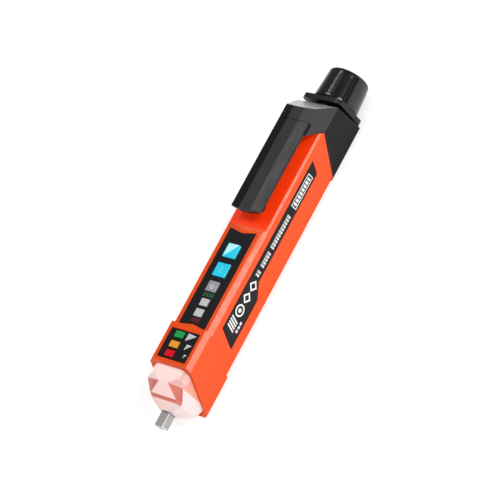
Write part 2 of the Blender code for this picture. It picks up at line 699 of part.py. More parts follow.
def tail_cap():
    """Round screw cap with fine grip ribs, a rounded end and a stepped bore."""
    ribs, depth = 36, 0.3
    end = LENGTH
    profile = [(CAP_TIP_RADIUS - 2.2, end), (CAP_TIP_RADIUS - 0.7, end - 0.45), (CAP_TIP_RADIUS, end - 1.6),
               (CAP_RADIUS, CAP_START + 0.4), (CAP_RADIUS - 0.4, CAP_START), (7.9, CAP_START), (7.9, 149.9),
               (5.8, 149.9), (5.8, 153.2)]
    cap = turned([(0.0, end)] + profile + [(0.0, 153.2)], sides=ribs * 2)
    middle = point(0.0, 0.0, AXIS_Z)
    for vertex in cap.data.vertices:
        world = cap.matrix_world @ vertex.co
        spoke = Vector((world.y, world.z - middle.z))
        station = world.x / MM + LENGTH / 2
        turn = round(math.atan2(spoke.y, spoke.x) / (math.pi / ribs))
        outer = spoke.length > 8.0 * MM
        if outer and turn % 2 and CAP_START + 0.2 < station < end - 0.3:
            spoke = spoke.normalized() * (spoke.length - depth * MM)
            vertex.co = cap.matrix_world.inverted() @ Vector((world.x, spoke.x, spoke.y + middle.z))
    return finish(cap, "tail_cap", "black", origin=point(CAP_START, 0.0, AXIS_Z), smooth=30)


def contact_carrier():
    """Disc inside the cap that carries the tail spring; it moves out with the cap but doesn't turn."""
    carrier = cylinder((150.3, 151.7), 5.3, sides=32)
    finish(carrier, "contact_carrier", "steel", origin=point(150.3, 0.0, AXIS_Z), smooth=40)
    finish(coil((138.55, 149.6), 3.4, 0.6, 5), "carrier_spring", "steel", smooth=40)


front_shell()
rear_cover()
cover_screws()
nose_lens()
sensor_pin()
antenna_strip()
torch_led()
keypad_overlay()
signal_overlay()
keys()
windows_and_pipes()
side_label()
circuit_board()
board_parts()
battery_sleeve()
cells()
front_contact()
tail_collar()
pocket_clip()
cap_seat()
cap_seal()
tail_cap()
contact_carrier()
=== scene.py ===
"""Looks for the pen-style voltage tester: surfaces, prints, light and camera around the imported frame.

Lengths are in millimetres. Stations run along the pen from the free end of its sensor pin.
"""
import json
import math

import bmesh
import bpy
from mathutils import Matrix, Vector


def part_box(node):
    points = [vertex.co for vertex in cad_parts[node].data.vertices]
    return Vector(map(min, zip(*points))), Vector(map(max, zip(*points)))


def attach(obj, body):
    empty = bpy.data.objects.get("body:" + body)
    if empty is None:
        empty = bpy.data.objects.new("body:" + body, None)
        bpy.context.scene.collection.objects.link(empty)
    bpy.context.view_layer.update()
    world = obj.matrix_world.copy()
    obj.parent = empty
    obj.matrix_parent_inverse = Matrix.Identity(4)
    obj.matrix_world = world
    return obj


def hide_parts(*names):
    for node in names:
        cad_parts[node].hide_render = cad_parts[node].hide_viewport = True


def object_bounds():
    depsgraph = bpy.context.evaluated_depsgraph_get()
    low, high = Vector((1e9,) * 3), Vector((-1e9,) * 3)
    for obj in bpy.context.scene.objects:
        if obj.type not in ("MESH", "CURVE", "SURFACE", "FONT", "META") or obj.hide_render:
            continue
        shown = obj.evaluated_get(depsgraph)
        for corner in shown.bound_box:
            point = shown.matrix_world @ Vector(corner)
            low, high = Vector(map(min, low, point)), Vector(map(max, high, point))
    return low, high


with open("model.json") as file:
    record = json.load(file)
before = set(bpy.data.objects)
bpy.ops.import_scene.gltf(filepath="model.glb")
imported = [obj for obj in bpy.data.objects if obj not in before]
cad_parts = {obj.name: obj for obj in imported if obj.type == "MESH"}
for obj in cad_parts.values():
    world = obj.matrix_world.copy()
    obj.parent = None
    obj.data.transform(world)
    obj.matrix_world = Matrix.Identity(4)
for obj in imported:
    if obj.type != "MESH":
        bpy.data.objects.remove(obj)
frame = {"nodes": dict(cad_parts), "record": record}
CAD_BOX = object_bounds()

MM = 0.001
LENGTH = (CAD_BOX[1][0] - CAD_BOX[0][0]) / MM


def span(node):
    """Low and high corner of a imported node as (station, y, z)."""
    return [(corner[0] / MM + LENGTH / 2, corner[1] / MM, corner[2] / MM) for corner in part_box(node)]


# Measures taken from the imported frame
PIN_LOW, PIN_HIGH = span("sensor_pin")
AXIS_Z = (PIN_LOW[2] + PIN_HIGH[2]) / 2
FACE_Z = span("keypad_overlay")[1][2]
HEAD_Z = span("signal_overlay")[1][2]
SIDE_Y = span("side_label")[0][1]
CAP_LOW, CAP_HIGH = span("tail_cap")
CLIP_LOW, CLIP_HIGH = span("pocket_clip")
COLLAR_HIGH = span("tail_collar")[1]
LENS_LOW, LENS_HIGH = span("nose_lens")

INK = 0.03                   # thickness of a print
SHELL_EDGE = 0.35            # rounding of the front shell's edges
BLACK_EDGE = 0.22            # rounding of the collar's and the clip's edges
PIN_EDGE = 0.4               # flat along the sensor pin's edges
WELD = 0.003                 # points closer than this are one point

# Where the rounded edges, the painted highlights and the painted glow lie
LABEL_START = 37.5           # station where the side label's pocket starts
LABEL_TOP = 18.0             # height that the pocket stays under
SHELL_END = 113.0            # station where the front shell's rounded edges stop
CORNER_EDGE = 1.8            # how far in from the side the slanted corner's upper edge lies
CORNER_FACE = 1.9            # how far in the slanted corner's face can lie
RECESS_AHEAD = 3.4           # how far the recess starts ahead of the clip
RECESS_DEPTH = (0.9, 1.1)    # depth of the recess floor under the display face, from and to
COLLAR_START = 116.5         # station where the collar's rounded side edges start
CLIP_SEAT = (127.5, 24.7)    # station and height behind which the collar's top is rounded
PIN_END = 13.0               # station where the sensor pin's rounded edges with their painted highlight stop

# Materials
BROAD_SCALE = 90.0           # noise scale of the colour variation
HANDLED_SCALE = 420.0        # noise scale of the uneven gloss
BUMP_DEPTH = 0.03            # height of the grain

# Camera
CAM_AZIMUTH = -22.13
CAM_ELEVATION = 45.0
CAM_ROLL = 45.53
CAM_DISTANCE = 932.9
CAM_LENS = 176.8
CAM_TARGET = (78.5, 0.0, 11.5)      # station, y, z
CAM_OFFSET = (1.83, 1.40)           # where the target sits right of and above the picture's middle
CAM_SENSOR = 36.0
CAM_CLIP = (0.01, 20.0)             # near and far limit of the view, in metres

# Lights: name, direction, distance in metres, size in metres, power
SOFTBOXES = (
    ("key", (0.27, -0.71, 0.66), 1.3, (0.38, 0.38), 9.5),
    ("zenith", (0.28, 0.27, 0.92), 1.2, (0.5, 0.45), 4.2),
    ("front_fill", (-0.85, -0.35, 0.40), 1.4, (0.9, 0.9), 5.0),
)
WORLD_LIGHT = 0.25
FLOOR_SIZE = 6.0                    # metres


def point(station, y, z):
    """World position of a station along the pen."""
    return Vector(((station - LENGTH / 2) * MM, y * MM, z * MM))


# ---------------------------------------------------------------- shape helpers
def new_object(name, mesh):
    """Object in the scene for a mesh or a curve."""
    obj = bpy.data.objects.new(name, mesh)
    bpy.context.scene.collection.objects.link(obj)
    return obj


def from_bmesh(name, work):
    """Object from a bmesh, with its faces turned outwards; the bmesh is used up."""
    bmesh.ops.recalc_face_normals(work, faces=work.faces)
    mesh = bpy.data.meshes.new(name)
    work.to_mesh(mesh)
    work.free()
    return new_object(name, mesh)


def outlines_solid(outlines, frame_matrix, thickness):
    """Flat outlines, in mm in the frame's own X and Y, extruded both ways along its Z."""
    curve = bpy.data.curves.new("outline", "CURVE")
    curve.dimensions = "2D"
    curve.fill_mode = "BOTH"
    curve.extrude = thickness * MM / 2
    for outline in outlines:
        spline = curve.splines.new("POLY")
        spline.points.add(len(outline) - 1)
        for target, (u, v) in zip(spline.points, outline):
            target.co = (u * MM, v * MM, 0.0, 1.0)
        spline.use_cyclic_u = True
    drawn = new_object("outline", curve)
    drawn.matrix_world = frame_matrix
    bpy.context.view_layer.update()
    mesh = bpy.data.meshes.new_from_object(drawn.evaluated_get(bpy.context.evaluated_depsgraph_get()))
    mesh.transform(frame_matrix)
    bpy.data.objects.remove(drawn, do_unlink=True)
    work = bmesh.new()
    work.from_mesh(mesh)
    bmesh.ops.remove_doubles(work, verts=work.verts, dist=0.004 * MM)
    return from_bmesh("outline", work)


def along_x(outline, x):
    """Solid from one (y, z) outline, between two stations."""
    matrix = Matrix(((0, 0, 1, 0), (1, 0, 0, 0), (0, 1, 0, 0), (0, 0, 0, 1)))
    matrix.translation = point((x[0] + x[1]) / 2, 0.0, 0.0)
    return outlines_solid([outline], matrix, x[1] - x[0])


def along_y(outlines, y):
    """Solid from (station, z) outlines, between two values of y."""
    matrix = Matrix(((1, 0, 0, 0), (0, 0, -1, 0), (0, 1, 0, 0), (0, 0, 0, 1)))
    matrix.translation = point(0.0, (y[0] + y[1]) / 2, 0.0)
    return outlines_solid(outlines, matrix, y[1] - y[0])


def along_z(outlines, z):
    """Solid from (station, y) outlines, between two heights."""
    matrix = Matrix.Translation(point(0.0, 0.0, (z[0] + z[1]) / 2))
    return outlines_solid(outlines, matrix, z[1] - z[0])


def combine(obj, other, operation):
    """Boolean with the EXACT solver; the other object is used up."""
    modifier = obj.modifiers.new(operation.lower(), "BOOLEAN")
    modifier.operation = operation
    modifier.object = other
    modifier.solver = "EXACT"
    bpy.context.view_layer.update()
    mesh = bpy.data.meshes.new_from_object(obj.evaluated_get(bpy.context.evaluated_depsgraph_get()))
    obj.modifiers.clear()
    obj.data = mesh
    bpy.data.objects.remove(other, do_unlink=True)


def copy_of(node):
    """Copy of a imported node's mesh, in world coordinates."""
    source = frame["nodes"][node]
    mesh = source.data.copy()
    mesh.transform(source.matrix_world)
    return new_object(node, mesh)


def place_of(co):
    """World position as (station, y, z)."""
    return co.x / MM + LENGTH / 2, co.y / MM, co.z / MM


def soften(obj, width, picked, material, segments=3):
    """Round the sharp edges whose two ends are both picked by a rule on (station, y, z)."""
    work = bmesh.new()
    work.from_mesh(obj.data)
    bmesh.ops.remove_doubles(work, verts=work.verts, dist=WELD * MM)
    bmesh.ops.dissolve_limit(work, angle_limit=math.radians(1.0), verts=work.verts, edges=work.edges)
    edges = []
    for edge in work.edges:
        ends = [place_of(vertex.co) for vertex in edge.verts]
        sharp = len(edge.link_faces) == 2 and edge.calc_face_angle() > math.radians(8)
        if sharp and all(picked(*end) for end in ends):
            edges.append(edge)
    bmesh.ops.bevel(work, geom=edges, offset=width * MM, segments=segments, profile=0.5, affect="EDGES",
                    clamp_overlap=True, material=material)
    mesh = bpy.data.meshes.new(obj.name)
    work.to_mesh(mesh)
    work.free()
    obj.data = mesh
    return obj


def smooth(obj, angle=30):
    """Smooth shading that stays sharp over edges steeper than the angle."""
    obj.data.shade_smooth()
    obj.data.set_sharp_from_angle(angle=math.radians(angle))
    weighted = obj.modifiers.new("even_shading", "WEIGHTED_NORMAL")
    weighted.keep_sharp = True
    return obj


def piece(obj, name, body, looks, stands_for=()):
    """Name a visual piece, give it its finish and let it ride on its body."""
    obj.name = name
    obj.data.name = name
    tints = [face.material_index for face in obj.data.polygons]
    obj.data.materials.clear()
    for look in looks if isinstance(looks, list) else [looks]:
        obj.data.materials.append(look)
    for face, tint in zip(obj.data.polygons, tints):
        face.material_index = min(tint, len(obj.data.materials) - 1)
    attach(obj, body)
    if stands_for:
        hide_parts(*stands_for)
    return obj


# ---------------------------------------------------------------- materials
def noise(tree, coordinates, scale, detail):
    """Noise over the given coordinates."""
    texture = tree.nodes.new("ShaderNodeTexNoise")
    texture.inputs["Scale"].default_value = scale
    texture.inputs["Detail"].default_value = detail
    tree.links.new(coordinates, texture.inputs["Vector"])
    return texture.outputs["Fac"]


def spread(tree, value, low, high):
    """Map the middle of a noise onto a range."""
    mapped = tree.nodes.new("ShaderNodeMapRange")
    mapped.inputs["From Min"].default_value = 0.3
    mapped.inputs["From Max"].default_value = 0.7
    mapped.inputs["To Min"].default_value = low
    mapped.inputs["To Max"].default_value = high
    tree.links.new(value, mapped.inputs["Value"])
    return mapped.outputs["Result"]


def surface(name, color, roughness, mottle=0.06, grain=2200.0, relief=0.12, wear=0.04, streak=1.0,
            shine=0.25, **fixed):
    """A moulded or printed finish: broad colour variation, fine grain, and uneven gloss along the pen."""
    mat = bpy.data.materials.new(name)
    mat.use_nodes = True
    tree = mat.node_tree
    shader = tree.nodes["Principled BSDF"]
    shader.inputs["Specular IOR Level"].default_value = shine
    place = tree.nodes.new("ShaderNodeTexCoord")
    stretched = tree.nodes.new("ShaderNodeMapping")
    stretched.inputs["Scale"].default_value = (1.0 / streak, 1.0, 1.0)
    tree.links.new(place.outputs["Object"], stretched.inputs["Vector"])
    broad = noise(tree, place.outputs["Object"], BROAD_SCALE, 3.0)
    handled = noise(tree, stretched.outputs["Vector"], HANDLED_SCALE, 6.0)
    fine = noise(tree, place.outputs["Object"], grain, 4.0)
    blend = tree.nodes.new("ShaderNodeMix")
    blend.data_type = "RGBA"
    blend.inputs[6].default_value = (*[c * (1 - mottle) for c in color], 1.0)
    blend.inputs[7].default_value = (*[min(1.0, c * (1 + mottle)) for c in color], 1.0)
    tree.links.new(spread(tree, broad, 0.0, 1.0), blend.inputs[0])
    tree.links.new(blend.outputs[2], shader.inputs["Base Color"])
    tree.links.new(spread(tree, handled, roughness - wear, roughness + wear), shader.inputs["Roughness"])
    bump = tree.nodes.new("ShaderNodeBump")
    bump.inputs["Strength"].default_value = relief
    bump.inputs["Distance"].default_value = BUMP_DEPTH * MM
    tree.links.new(fine, bump.inputs["Height"])
    tree.links.new(bump.outputs["Normal"], shader.inputs["Normal"])
    for socket, value in fixed.items():
        shader.inputs[socket.replace("_", " ")].default_value = value
    return mat


LOOKS = {
    "orange_plastic": surface("orange_moulding", (0.84, 0.072, 0.002), 0.36, mottle=0.03, relief=0.2,
                              wear=0.05, shine=0.26),
    "black_plastic": surface("black_moulding", (0.011, 0.011, 0.012), 0.32, mottle=0.12, relief=0.12,
                             wear=0.05, streak=4.0, shine=0.26),
    "gloss_black_plastic": surface("gloss_black_moulding", (0.004, 0.004, 0.0045), 0.16, mottle=0.1,
                                   relief=0.0, wear=0.03, streak=6.0, shine=0.5),
    "black_film": surface("printed_film", (0.008, 0.008, 0.010), 0.4, mottle=0.1, relief=0.05, shine=0.15),
    "clear_nose": surface("nose_resin", (0.90, 0.74, 0.72), 0.14, mottle=0.08, relief=0.03, shine=0.5,
                          Transmission_Weight=0.1),
    "tip_plastic": surface("tip_moulding", (0.34, 0.33, 0.325), 0.16, mottle=0.06, relief=0.04, shine=0.8),
    "cyan_key": surface("cyan_key_cap", (0.02, 0.64, 0.86), 0.22, mottle=0.08, relief=0.06),
    "grey_key": surface("grey_key_cap", (0.30, 0.31, 0.35), 0.3, mottle=0.06, relief=0.1),
    "window_resin": surface("diffusing_window", (0.56, 0.57, 0.57), 0.3, mottle=0.08, relief=0.1),
    "lamp_resin": surface("lamp_resin", (0.85, 0.87, 0.9), 0.12, shine=0.5, Transmission_Weight=0.4),
    "green_pipe": surface("green_light_pipe", (0.012, 0.36, 0.07), 0.22, mottle=0.12),
    "amber_pipe": surface("amber_light_pipe", (0.90, 0.36, 0.03), 0.22, mottle=0.12),
    "red_pipe": surface("red_light_pipe", (0.68, 0.003, 0.015), 0.22, mottle=0.12),
    "board": surface("board_resist", (0.01, 0.14, 0.05), 0.35, mottle=0.15, shine=0.5),
    "copper_strip": surface("copper_sheet", (0.78, 0.38, 0.2), 0.28, mottle=0.12, wear=0.12, streak=8.0,
                            Metallic=1.0),
    "plain_steel": surface("plated_steel", (0.58, 0.58, 0.57), 0.3, mottle=0.08, wear=0.12, streak=8.0,
                           Metallic=1.0),
    "black_rubber": surface("seal_rubber", (0.018, 0.018, 0.018), 0.75, mottle=0.15, relief=0.3),
    "cell_jacket": surface("cell_jacket", (0.06, 0.11, 0.26), 0.3, mottle=0.1, wear=0.1, streak=8.0,
                           Metallic=0.4),
}

# Painted highlights, shade, reflection and glow on single faces and edges, and the inks
# painted highlight: a lighter, glossier orange on the front shell's rounded edges
LIT_ORANGE_EDGE = surface("orange_edge_painted_highlight", (0.92, 0.17, 0.06), 0.3, mottle=0.08, relief=0.2, shine=0.6)
# painted highlight: a lighter orange on the slanted corners along the body
LIT_ORANGE_CORNER = surface("orange_corner_painted_highlight", (0.87, 0.098, 0.014), 0.34, mottle=0.05, relief=0.2,
                        shine=0.34)
# painted highlight: a lighter black on the rounded edges of the collar and the clip
LIT_BLACK_EDGE = surface("black_edge_painted_highlight", (0.050, 0.050, 0.052), 0.24, mottle=0.3, relief=0.1,
                     streak=4.0, shine=0.6)
# painted light and shade: lit copies of the black for slanted and top facets, a shaded copy for the sides
# and far facets
LIT_BLACK_SLANT = surface("black_corner_painted_light", (0.042, 0.042, 0.043), 0.32, mottle=0.1, streak=4.0,
                       shine=0.26)
LIT_BLACK_TOP = surface("black_top_painted_light", (0.027, 0.027, 0.028), 0.32, mottle=0.12, streak=4.0, shine=0.26)
SHADED_BLACK_SIDE = surface("black_side_painted_shade", (0.007, 0.007, 0.0075), 0.38, mottle=0.12, streak=4.0, shine=0.13)
# painted reflection: a light, mottled grey on the collar's slope behind the clip
REFLECTING_BLACK_SLOPE = surface("black_slope_painted_reflection", (0.29, 0.29, 0.30), 0.3, mottle=0.3, relief=0.1, shine=0.6)
# painted glow: emission that lifts the shade of the recess floor under the clip
GLOWING_RECESS_ORANGE = surface("recess_orange_painted_glow", (0.88, 0.040, 0.004), 0.42, mottle=0.06, relief=0.2,
                      Emission_Color=(0.85, 0.030, 0.0, 1.0), Emission_Strength=0.4)
WHITE_INK = surface("white_ink", (0.80, 0.81, 0.81), 0.5, mottle=0.08, relief=0.05)
FAINT_CYAN_INK = surface("faint_cyan_ink", (0.10, 0.72, 0.88), 0.3)
PALE_CYAN_HALF = surface("pale_cyan_half", (0.50, 0.96, 1.0), 0.3, mottle=0.1)
GREEN_INK = surface("green_ink", (0.02, 0.16, 0.05), 0.5, mottle=0.2)
RED_INK = surface("red_ink", (0.16, 0.006, 0.018), 0.5, mottle=0.2)
GREY_INK = surface("grey_ink", (0.62, 0.62, 0.63), 0.5, mottle=0.15)
# painted light and shade on the nose: tinted copies of the clear resin, one for each group of facets
SHADED_ROSE_RESIN = surface("nose_rose_painted_shade", (0.74, 0.20, 0.16), 0.2, mottle=0.15, relief=0.05, shine=0.5)
SHADED_BLUSH_RESIN = surface("nose_blush_painted_shade", (0.88, 0.33, 0.25), 0.16, mottle=0.15, relief=0.03, shine=0.5)
SHADED_PETAL_RESIN = surface("nose_petal_painted_shade", (0.84, 0.50, 0.45), 0.16, mottle=0.12, relief=0.03, shine=0.5)
# painted glow: emission on the nose's top facets
GLOWING_MILK_RESIN = surface("nose_milk_painted_glow", (0.92, 0.66, 0.63), 0.14, mottle=0.06, relief=0.03, shine=0.5,
                     Emission_Color=(0.95, 0.62, 0.60, 1.0), Emission_Strength=0.2)
# painted highlight: a light grey on the sensor pin's rounded edges
LIT_TIP_EDGE = surface("tip_edge_painted_highlight", (0.80, 0.79, 0.78), 0.14, mottle=0.1, relief=0.03, shine=1.0)


def dress_nodes():
    """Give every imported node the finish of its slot."""
    for row in frame["record"]["subparts"]:
        obj = frame["nodes"][row["node"]]
        obj.data.materials.clear()
        obj.data.materials.append(LOOKS[row["material_slot"]])


# ---------------------------------------------------------------- housing
def shell_skin():
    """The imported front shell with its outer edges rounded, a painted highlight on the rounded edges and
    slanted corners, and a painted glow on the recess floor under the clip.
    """
    side = -SIDE_Y
    recess_glow, lit_edge, lit_corner = 1, 2, 3

    def outer(station, y, z):
        beside_face = abs(y) > side - CORNER_EDGE and z > FACE_Z - 0.05
        on_side = abs(y) > side - 0.05 and z > 2.0
        by_label = station > LABEL_START and z < LABEL_TOP
        return (beside_face or on_side) and not by_label and station < SHELL_END

    # the rounded edges get the painted highlight
    skin = soften(copy_of("front_shell"), SHELL_EDGE, outer, lit_edge)
    piece(smooth(skin), "front_shell_moulding", "housing",
          [LOOKS["orange_plastic"], GLOWING_RECESS_ORANGE, LIT_ORANGE_EDGE, LIT_ORANGE_CORNER], ["front_shell"])
    recess = CLIP_LOW[0] - RECESS_AHEAD
    for face in skin.data.polygons:
        station, y, z = place_of(face.center)
        slanted = abs(face.normal.x) < 0.2 and 0.45 < abs(face.normal.y) < 0.9 and face.normal.z > 0.4
        # the recess floor under the clip gets the painted glow
        if station > recess and RECESS_DEPTH[0] < FACE_Z - z < RECESS_DEPTH[1]:
            face.material_index = recess_glow
        # the slanted corners get the painted highlight
        elif slanted and abs(y) > side - CORNER_FACE:
            face.material_index = lit_corner


def paint_light_on_facets(obj, rule):
    """Paint light and shade on the facets: each face that still has the main finish gets the lit or shaded
    copy that a rule on its normal says.
    """
    for face in obj.data.polygons:
        if face.material_index == 0:
            face.material_index = rule(*face.normal)


def collar_skin():
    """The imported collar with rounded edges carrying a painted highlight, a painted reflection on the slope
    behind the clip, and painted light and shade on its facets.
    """
    wide = COLLAR_HIGH[1]
    lit_edge, slope_reflection, lit_slant, lit_top, shaded_side = range(1, 6)

    def outer(station, y, z):
        on_side = abs(y) > wide - 0.1 and station > COLLAR_START and z > 1.0
        on_top = station > CLIP_SEAT[0] and z > CLIP_SEAT[1]
        return on_side or on_top

    # painted light and shade by facet: lit copies for slanted and top facets, a shaded copy for the sides
    # and far facets
    def finish(x, y, z):
        if abs(y) > 0.3 and 0.2 < z < 0.95:
            return lit_slant
        if abs(y) < 0.1 and z > 0.95:
            return lit_top
        return shaded_side if abs(y) > 0.95 or (y > 0.1 and z > 0.95) else 0

    skin = soften(copy_of("tail_collar"), BLACK_EDGE, outer, lit_edge)
    piece(smooth(skin, 6), "tail_collar_moulding", "housing",
          [LOOKS["black_plastic"], LIT_BLACK_EDGE, REFLECTING_BLACK_SLOPE, LIT_BLACK_SLANT, LIT_BLACK_TOP, SHADED_BLACK_SIDE],
          ["tail_collar"])
    for face in skin.data.polygons:
        # the slope behind the clip gets the painted reflection
        leans_back = 0.5 < face.normal.x < 0.95 and face.normal.z > 0.4 and abs(face.normal.y) < 0.1
        if leans_back and face.area > 2 * MM * MM:
            face.material_index = slope_reflection
    paint_light_on_facets(skin, finish)


def clip_skin():
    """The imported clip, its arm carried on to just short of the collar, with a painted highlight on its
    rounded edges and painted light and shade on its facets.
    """
    top = CLIP_HIGH[2]
    half = CLIP_HIGH[1]
    root, wall = 126.4, 126.9       # stations where the arm ends and where the collar starts
    pivot = top - 1.9
    shoulder = top - 0.7
    flat = 2.8                      # half width of the arm's flat top
    lean = 0.105                    # slope of the arm's end, which clears the collar when it lifts
    lit_edge, lit_top, shaded_side = range(1, 4)
    skin = copy_of("pocket_clip")
    under = pivot + 0.05
    section = [(half, under), (half, shoulder), (flat, top), (-flat, top), (-half, shoulder), (-half, under)]
    closing = along_x(section, (root - 0.3, wall - 0.02))
    for vertex in closing.data.vertices:
        if vertex.co.x > point(root, 0, 0).x:
            vertex.co.x -= lean * (vertex.co.z - pivot * MM)
    combine(skin, closing, "UNION")

    def outer(station, y, z):
        return station < root - 0.5 and z > pivot - 0.3

    # painted light and shade by facet: a lit copy for the top flat, a shaded copy for the far facet
    def finish(x, y, z):
        if abs(y) < 0.1 and z > 0.95:
            return lit_top
        return shaded_side if y > 0.1 and z > 0.95 else 0

    soften(skin, BLACK_EDGE, outer, lit_edge)
    piece(smooth(skin, 6), "pocket_clip_arm", "clip",
          [LOOKS["black_plastic"], LIT_BLACK_EDGE, LIT_BLACK_TOP, SHADED_BLACK_SIDE], ["pocket_clip"])
    paint_light_on_facets(skin, finish)


# ---------------------------------------------------------------- tail cap
def ribbed_cap():
    """Screw cap with fine round ribs between a plain rim and a rounded end."""
    ribs, steps, depth = 44, 6, 0.05
    start, end = CAP_LOW[0], CAP_HIGH[0]
    base, tip = CAP_HIGH[1], 8.6            # radius beside the collar and at the free end
    socket, socket_floor = 5.8, 153.2       # radius and station of the hole for the contact
    mouth, mouth_floor = 7.9, 149.9         # radius and station of the mouth over the spigot
    slope = (base - tip) / (end - 1.6 - start)
    # Station, radius, and 1 where the surface is ribbed
    profile = [(socket_floor, socket, 0), (mouth_floor, socket, 0), (mouth_floor, mouth, 0)]
    profile += [(start, mouth, 0), (start, base - 0.45, 0)]
    profile += [(start + 0.12, base - 0.15, 0), (start + 0.4, base, 0), (start + 1.3, base - 1.3 * slope, 0)]
    profile += [(start + 1.7, base - 1.7 * slope, 1), (end - 2.9, tip + 0.9 * slope, 1), (end - 2.5, tip, 0)]
    rounding = 1.5
    for step in range(7):
        angle = math.radians(90 * step / 6)
        station = end - rounding + rounding * math.sin(angle)
        profile.append((station, tip - rounding * (1 - math.cos(angle)), 0))
    work = bmesh.new()
    rings = []
    count = ribs * steps
    for station, radius, ribbed in profile:
        ring = []
        for index in range(count):
            angle = 2 * math.pi * index / count
            reach = radius - ribbed * depth * (0.5 - 0.5 * math.cos(ribs * angle))
            place = point(station, reach * math.cos(angle), AXIS_Z + reach * math.sin(angle))
            ring.append(work.verts.new(place))
        rings.append(ring)
    for lower, upper in zip(rings, rings[1:]):
        for index in range(count):
            after = (index + 1) % count
            work.faces.new((lower[index], lower[after], upper[after], upper[index]))
    work.faces.new(rings[0])
    work.faces.new(rings[-1])
    cap = from_bmesh("cap", work)
    piece(smooth(cap, 40), "ribbed_tail_cap", "cap", LOOKS["gloss_black_plastic"],
          ["tail_cap"])


# ---------------------------------------------------------------- nose
def corner(side_end, top_end, bulge, steps=4):
    """Points from a section's side to its top, straight for a bulge of 0 and a quarter round for 1."""
    points = []
    for step in range(steps + 1):
        along = step / steps
        quarter = math.radians(90 * along)
        straight = [s + (t - s) * along for s, t in zip(side_end, top_end)]
        arc = (top_end[0] + (side_end[0] - top_end[0]) * math.cos(quarter),
               side_end[1] + (top_end[1] - side_end[1]) * math.sin(quarter))
        points.append([s + (a - s) * bulge for s, a in zip(straight, arc)])
    return points


def lens_ring(top, bottom, bulge):
    """Closed (y, z) section from its (side, top) corner ends above and below the axis."""
    upper = corner(*top, bulge)
    lower = corner(*bottom, bulge)
    right = lower[::-1] + upper
    return right + [(-y, z) for y, z in reversed(right)]


def faceted_nose():
    """Clear nose: an arched base in the head's mouth and a roof of flat facets down to the pin."""
    wide = LENS_HIGH[1]
    high, low = LENS_HIGH[2], LENS_LOW[2]
    back = LENS_HIGH[0]
    reach = 2.9                     # half width of the nose's front end, round the pin
    # Station and section of each ring, from the pin to the base
    rings = [
        (6.1, lens_ring(((reach, AXIS_Z + 2.0), (2.0, AXIS_Z + reach)),
                        ((reach, AXIS_Z - 2.0), (2.0, AXIS_Z - reach)), 0.4)),
        (9.0, lens_ring(((7.6, 13.6), (6.0, 15.4)), ((7.4, 4.6), (5.6, 3.4)), 0.0)),
        (10.1, lens_ring(((8.4, 14.6), (6.6, 16.5)), ((8.2, 4.0), (6.2, 2.6)), 0.0)),
        (14.3, lens_ring(((wide - 0.15, 19.0), (2.3, 20.4)), ((wide - 0.3, 2.6), (5.5, low + 0.05)), 0.0)),
        (16.2, lens_ring(((wide, 18.0), (5.2, high - 0.1)), ((wide, 4.0), (5.9, low)), 0.8)),
        (back, lens_ring(((wide, 17.5), (5.9, high)), ((wide, 4.8), (5.9, low)), 1.0)),
    ]
    work = bmesh.new()
    loops = [[work.verts.new(point(station, y, z)) for y, z in ring] for station, ring in rings]
    count = len(loops[0])
    clear, rose_shade, blush_shade, milk_glow, petal_shade = range(5)
    # Facets of one band, counted round the section
    far_corner, top, near_corner, near_side = range(5, 9), (9,), range(10, 14), (14,)
    tints = [{}, {}, {}, {}, {}]    # painted light and shade: tints other than clear, per band from the pin to the base
    tints[0].update({index: rose_shade for index in far_corner})
    tints[0].update({index: milk_glow for index in top})
    tints[1].update({index: rose_shade for index in (*far_corner, *top, *near_corner)})
    tints[2].update({index: rose_shade for index in (*far_corner, *near_corner)})
    tints[2].update({index: milk_glow for index in top})
    for band in tints[3:]:
        band.update({index: milk_glow for index in (*far_corner, *top)})
        band.update({index: petal_shade for index in near_corner})
        band.update({index: blush_shade for index in near_side})
    for tint, first, second in zip(tints, loops, loops[1:]):
        for index in range(count):
            after = (index + 1) % count
            face = work.faces.new((first[index], first[after], second[after], second[index]))
            face.material_index = tint.get(index, clear)
    work.faces.new(loops[0])
    work.faces.new(loops[-1])
    lens = from_bmesh("lens", work)
    looks = [LOOKS["clear_nose"], SHADED_ROSE_RESIN, SHADED_BLUSH_RESIN, GLOWING_MILK_RESIN, SHADED_PETAL_RESIN]
    for look in looks:
        lens.data.materials.append(look)
    bore, depth = 2.3, 14.5         # half width and far station of the hole for the pin
    well = along_x([(bore, AXIS_Z - bore), (bore, AXIS_Z + bore), (-bore, AXIS_Z + bore),
                    (-bore, AXIS_Z - bore)], (0.0, depth))
    combine(lens, well, "DIFFERENCE")
    piece(smooth(lens, 10), "faceted_nose_lens", "housing", looks, ["nose_lens"])


def pin_skin():
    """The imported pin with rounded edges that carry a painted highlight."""
    def outer(station, y, z):
        return station < PIN_END and abs(y) > 1.9

    skin = soften(copy_of("sensor_pin"), PIN_EDGE, outer, 1, segments=1)
    piece(smooth(skin, 20), "sensor_pin_moulding", "housing", [LOOKS["tip_plastic"], LIT_TIP_EDGE],
          ["sensor_pin"])


# ---------------------------------------------------------------- prints
# Outlines are (station, y) on the panels and keys, and (station, z) on the side label.
def box_outline(x, y):
    """Rectangle from its two ranges."""
    return [(x[0], y[0]), (x[1], y[0]), (x[1], y[1]), (x[0], y[1])]


def regular_outline(center, radius, corners):
    """Regular polygon with a corner straight ahead; many corners make a circle."""
    angles = [2 * math.pi * i / corners for i in range(corners)]
    return [(center[0] + radius * math.cos(a), center[1] + radius * math.sin(a)) for a in angles]


def arc_band(center, inner, outer, start, end, steps=14):
    """Closed outline of a ring's part between two angles."""
    angles = [math.radians(start + (end - start) * i / steps) for i in range(steps + 1)]
    rim = [(center[0] + outer * math.cos(a), center[1] + outer * math.sin(a)) for a in angles]
    hole = [(center[0] + inner * math.cos(a), center[1] + inner * math.sin(a)) for a in reversed(angles)]
    return rim + hole


